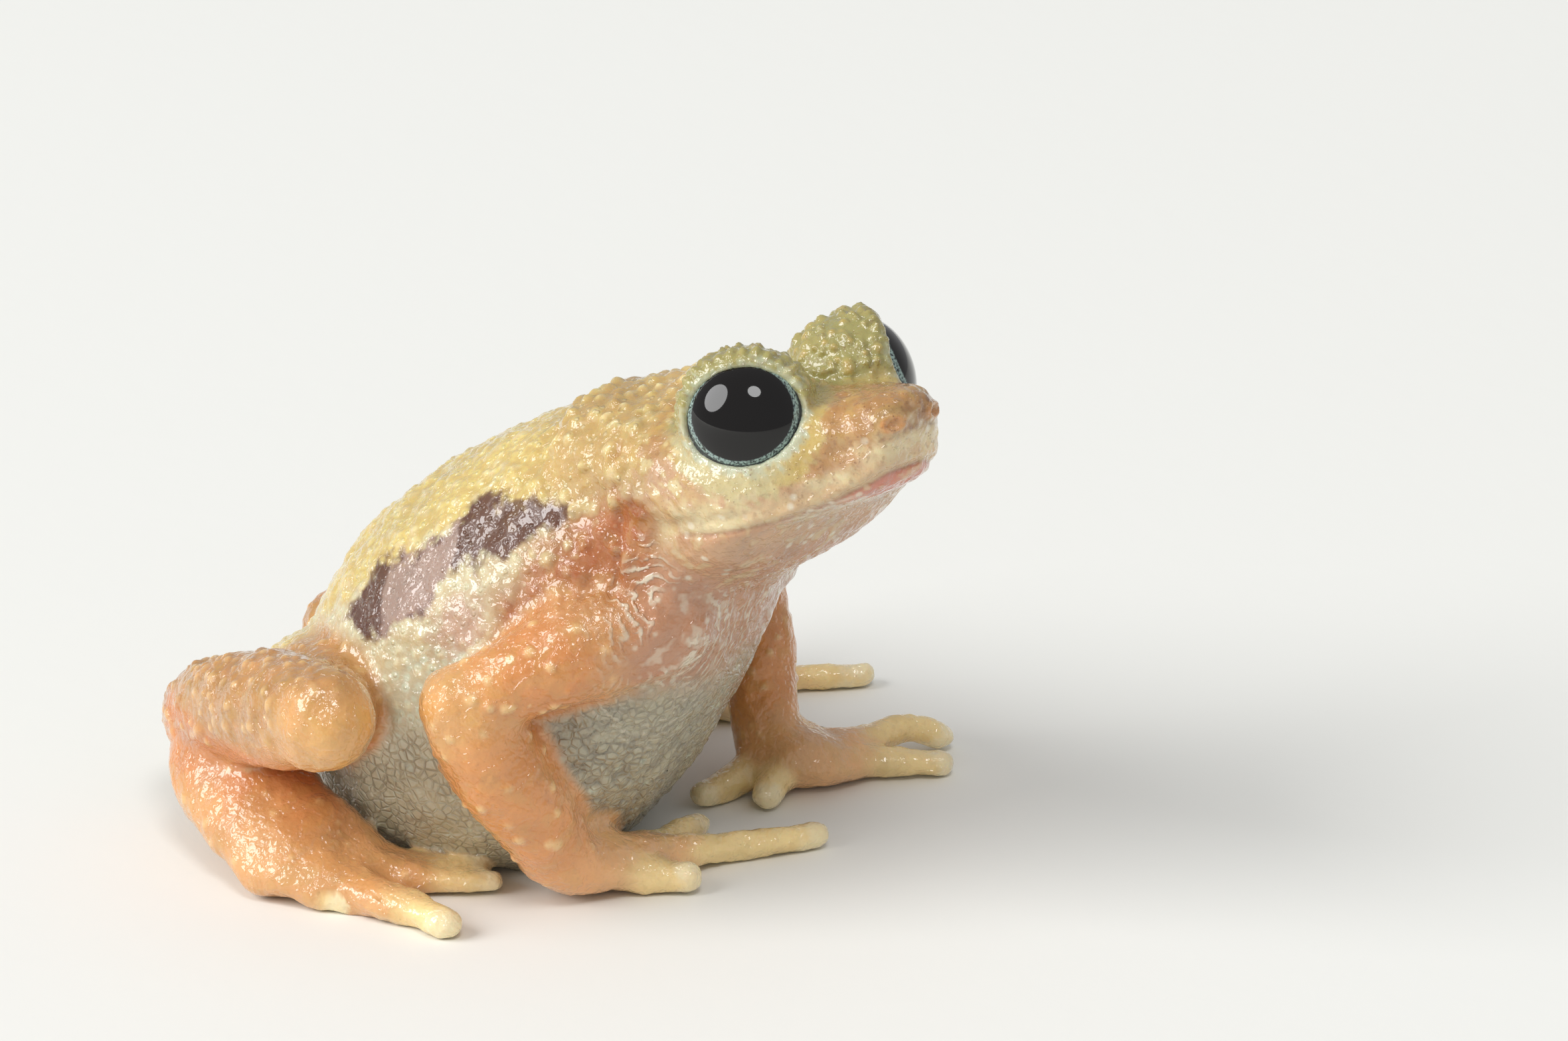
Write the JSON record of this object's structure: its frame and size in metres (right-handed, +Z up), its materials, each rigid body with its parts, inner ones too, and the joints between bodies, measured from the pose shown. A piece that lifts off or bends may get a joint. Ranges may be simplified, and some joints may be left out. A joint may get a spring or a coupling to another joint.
{
  "type": "kihansi spray toad",
  "caption": "Small plump yellow toad sitting with raised head, large dark eyes, short blunt snout, slender fingers and folded hind legs.",
  "frame": {"origin": "middle of the belly's rest on the floor", "axes": "+Z up from the floor, -Y the way the body faces, +X the toad's left"},
  "size_m": [0.0233, 0.0228, 0.0167],
  "materials": {
    "back_skin": "moist yellow skin with fine warts",
    "head_skin": "moist tan skin with small brown specks",
    "limb_skin": "moist orange skin with pale warts",
    "digit_skin": "moist thin yellow skin",
    "eye": "wet clear cornea over a dark pupil"
  },
  "bodies": {
    "root": {"head": "head_skin", "torso": "back_skin", "eye_right": "eye", "eye_left": "eye", "upper_arm_right": "limb_skin", "upper_arm_left": "limb_skin", "forearm_right": "limb_skin", "forearm_left": "limb_skin", "hand_right": "digit_skin", "hand_left": "digit_skin", "thigh_right": "limb_skin", "thigh_left": "limb_skin", "shank_right": "limb_skin", "shank_left": "limb_skin", "tarsus_right": "limb_skin", "tarsus_left": "limb_skin", "foot_right": "digit_skin", "foot_left": "digit_skin"}
  },
  "joints": []
}
